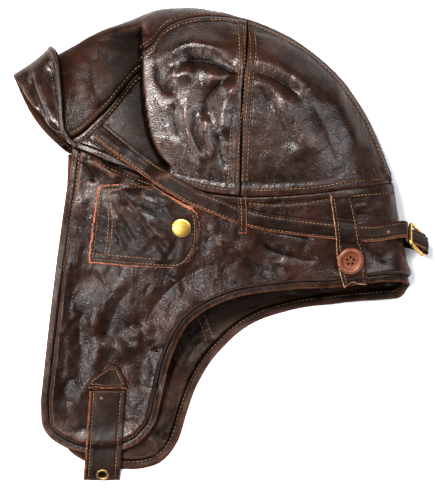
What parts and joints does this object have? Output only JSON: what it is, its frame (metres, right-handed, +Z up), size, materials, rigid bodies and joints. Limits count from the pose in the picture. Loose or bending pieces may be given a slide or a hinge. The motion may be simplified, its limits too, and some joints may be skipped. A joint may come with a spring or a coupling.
{
  "type": "leather flying helmet",
  "caption": "Soft leather flying helmet lying flat on its side, with ear flaps, a turned-up peak, ear covers, a buckled head strap, goggle tabs and a chin strap stub.",
  "frame": {"origin": "the middle of the area it covers, on the surface it lies on", "axes": "+Z up from the surface, out of the helmet's left side; +Y from the ear flaps to the top of the crown; +X from the brow to the nape"},
  "size_m": [0.3232, 0.3684, 0.0847],
  "materials": {
    "leather_wall": "semi-gloss, creased",
    "leather_trim": "semi-gloss, raw edges",
    "brass": "polished, a little worn",
    "wood": "satin"
  },
  "bodies": {
    "root": {"crown_band": "leather_wall", "crown_front_left": "leather_wall", "crown_rear_left": "leather_wall", "crown_front_right": "leather_wall", "crown_rear_right": "leather_wall", "side_left": "leather_wall", "side_right": "leather_wall", "peak": "leather_trim", "head_strap_left": "leather_trim", "head_strap_right": "leather_trim", "strap_keeper_left": "leather_trim", "strap_keeper_right": "leather_trim", "ear_cover_left": "leather_trim", "ear_cover_right": "leather_trim", "goggle_tab_left": "leather_trim", "goggle_tab_right": "leather_trim", "chin_strap": "leather_trim", "chin_anchor": "leather_trim", "cover_snap_left": "brass", "cover_snap_right": "brass", "buckle_frame": "brass", "chin_eyelet": "brass", "goggle_button_left": "wood", "goggle_button_right": "wood"}
  },
  "joints": []
}
